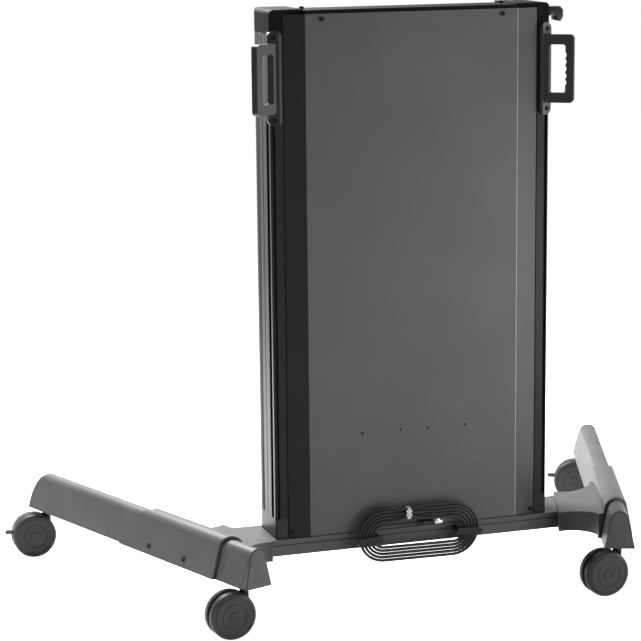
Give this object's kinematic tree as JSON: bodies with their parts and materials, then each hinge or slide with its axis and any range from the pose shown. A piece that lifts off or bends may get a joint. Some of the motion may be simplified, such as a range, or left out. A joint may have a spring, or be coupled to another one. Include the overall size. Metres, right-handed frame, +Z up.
{
  "type": "motorized display cart",
  "caption": "Wheeled column cart with splayed legs, a lifting carriage for a display, rear cover, side handles and a coiled supply cord.",
  "frame": {"origin": "on the floor under the column's centre", "axes": "+Z up, the display side faces -Y, +X is the left side as seen from behind"},
  "size_m": [1.5026, 0.8334, 1.2715],
  "materials": {
    "powder_grey": "satin",
    "black_plastic": "matte",
    "screw_steel": "satin",
    "anodised": "satin",
    "cover_paint": "satin",
    "bright_steel": "polished",
    "actuator_paint": "satin",
    "cord_jacket": "satin",
    "tie_white": "matte",
    "guide_plastic": "matte",
    "button_plastic": "gloss",
    "caster_black": "satin",
    "wheel_grey": "satin",
    "lever_plastic": "satin"
  },
  "bodies": {
    "base": {"crossbar": "powder_grey", "hub_left": "powder_grey", "hub_right": "powder_grey", "hub_collars": "black_plastic", "hub_screws": "screw_steel", "leg_left": "powder_grey", "leg_right": "powder_grey", "leg_caps_front": "black_plastic", "leg_caps_rear": "black_plastic", "caster_sockets": "black_plastic", "crossbar_screws": "screw_steel", "cord_hook_left": "powder_grey", "cord_hook_right": "powder_grey", "upright_left": "anodised", "upright_right": "anodised", "upright_foot_left": "black_plastic", "upright_foot_right": "black_plastic", "top_cap_left": "black_plastic", "top_cap_right": "black_plastic", "top_crossmember": "powder_grey", "top_screws": "screw_steel", "rear_cover": "cover_paint", "cover_screws": "screw_steel", "front_cover": "cover_paint", "mid_crossmember": "powder_grey", "handle_left": "black_plastic", "handle_right": "black_plastic", "handle_screws": "screw_steel", "side_hook": "black_plastic", "actuator_motor": "actuator_paint", "actuator_tube": "actuator_paint", "actuator_bracket": "powder_grey", "actuator_pin_lower": "bright_steel", "control_box": "black_plastic", "control_panel": "black_plastic", "cord_gland": "black_plastic", "cord_lead": "cord_jacket", "cord_hank": "cord_jacket", "cord_tie": "tie_white", "plug": "black_plastic"},
    "carriage": {"carriage_frame": "powder_grey", "display_bracket_left": "powder_grey", "display_bracket_right": "powder_grey", "guide_blocks": "guide_plastic", "actuator_rod": "bright_steel", "actuator_pin_upper": "bright_steel", "bracket_screws": "screw_steel"},
    "up_button": {"up_button": "button_plastic"},
    "down_button": {"down_button": "button_plastic"},
    "caster_rl": {"caster_body_rl": "caster_black"},
    "roller_rl": {"wheels_rl": "wheel_grey"},
    "caster_rr": {"caster_body_rr": "caster_black"},
    "roller_rr": {"wheels_rr": "wheel_grey"},
    "caster_fl": {"caster_body_fl": "caster_black"},
    "roller_fl": {"wheels_fl": "wheel_grey"},
    "caster_fr": {"caster_body_fr": "caster_black"},
    "roller_fr": {"wheels_fr": "wheel_grey"},
    "brake_fl": {"brake_lever_fl": "lever_plastic"},
    "brake_fr": {"brake_lever_fr": "lever_plastic"}
  },
  "joints": [
    {"name": "lift", "type": "slide", "parent": "base", "child": "carriage", "axis": [0, 0, 1], "range_m": [0, 0.4]},
    {"name": "up_button_press", "type": "slide", "parent": "base", "child": "up_button", "axis": [1, 0, 0], "range_m": [0, 0.0015], "stiffness_N_per_m": 600, "springref_m": -0.001},
    {"name": "down_button_press", "type": "slide", "parent": "base", "child": "down_button", "axis": [1, 0, 0], "range_m": [0, 0.0015], "stiffness_N_per_m": 600, "springref_m": -0.001},
    {"name": "swivel_rl", "type": "hinge", "parent": "base", "child": "caster_rl", "pos_m": [0.42126, 0.1957, 0.1], "axis": [0, 0, 1], "continuous": true},
    {"name": "swivel_rr", "type": "hinge", "parent": "base", "child": "caster_rr", "pos_m": [-0.42126, 0.1957, 0.1], "axis": [0, 0, 1], "continuous": true},
    {"name": "swivel_fl", "type": "hinge", "parent": "base", "child": "caster_fl", "pos_m": [0.68318, -0.52391, 0.1], "axis": [0, 0, 1], "continuous": true},
    {"name": "swivel_fr", "type": "hinge", "parent": "base", "child": "caster_fr", "pos_m": [-0.68318, -0.52391, 0.1], "axis": [0, 0, 1], "continuous": true},
    {"name": "roll_rl", "type": "hinge", "parent": "caster_rl", "child": "roller_rl", "pos_m": [0.45256, 0.19922, 0.05], "axis": [-0.1115, 0.9938, 0], "continuous": true},
    {"name": "roll_rr", "type": "hinge", "parent": "caster_rr", "child": "roller_rr", "pos_m": [-0.38977, 0.19664, 0.05], "axis": [-0.0297, 0.9996, 0], "continuous": true},
    {"name": "roll_fl", "type": "hinge", "parent": "caster_fl", "child": "roller_fl", "pos_m": [0.71468, -0.52441, 0.05], "axis": [0.0157, 0.9999, 0], "continuous": true},
    {"name": "roll_fr", "type": "hinge", "parent": "caster_fr", "child": "roller_fr", "pos_m": [-0.6544, -0.53673, 0.05], "axis": [0.4067, 0.9135, 0], "continuous": true},
    {"name": "brake_fl_press", "type": "hinge", "parent": "caster_fl", "child": "brake_fl", "pos_m": [0.70773, -0.5243, 0.08939], "axis": [0.0157, 0.9999, 0], "range_deg": [0, 10]},
    {"name": "brake_fr_press", "type": "hinge", "parent": "caster_fr", "child": "brake_fr", "pos_m": [-0.66075, -0.5339, 0.08939], "axis": [0.4067, 0.9135, 0], "range_deg": [0, 10]}
  ]
}
